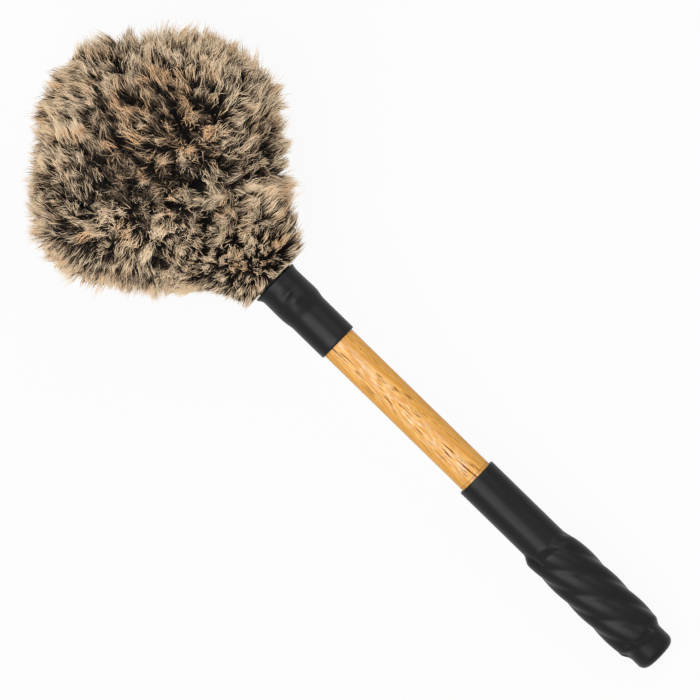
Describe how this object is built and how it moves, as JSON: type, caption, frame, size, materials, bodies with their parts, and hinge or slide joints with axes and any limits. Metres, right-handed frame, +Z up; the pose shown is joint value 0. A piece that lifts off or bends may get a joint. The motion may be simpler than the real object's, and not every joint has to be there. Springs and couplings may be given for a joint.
{
  "type": "gong mallet",
  "caption": "Gong mallet with a large stuffed fur head, a collared oak shaft and a spirally padded rubber grip.",
  "frame": {"origin": "centre of the footprint of the mallet's bounding box, on the table that the mallet lies on", "axes": "+X along the table from the butt of the grip to the crown of the head, +Z up; the shaft climbs 9.3 degrees towards the head"},
  "size_m": [0.4852, 0.1648, 0.1595],
  "materials": {
    "oak": "oiled oak with long grain flecks",
    "beech": "turned beech, left raw",
    "steel": "zinc plated steel",
    "felt": "pressed grey wool felt",
    "wadding": "off-white wadding",
    "cloth": "unbleached knitted cloth",
    "fur": "long pile, dark brown at the roots and beige at the tips",
    "twine": "waxed twine",
    "foam": "dense black foam rubber",
    "rubber": "satin black shrunk rubber"
  },
  "bodies": {
    "root": {"shaft": "oak", "head_core": "beech", "core_washer": "steel", "core_screw": "steel", "core_felt": "felt", "wadding_ball": "wadding", "inner_cover": "cloth", "fur_cover": "fur", "neck_whipping": "twine", "whipping_knot": "twine", "neck_collar": "rubber", "grip_strip_1": "foam", "grip_strip_2": "foam", "grip_strip_3": "foam", "grip_strip_4": "foam", "grip_strip_5": "foam", "grip_strip_6": "foam", "grip_sleeve": "rubber"}
  },
  "joints": []
}
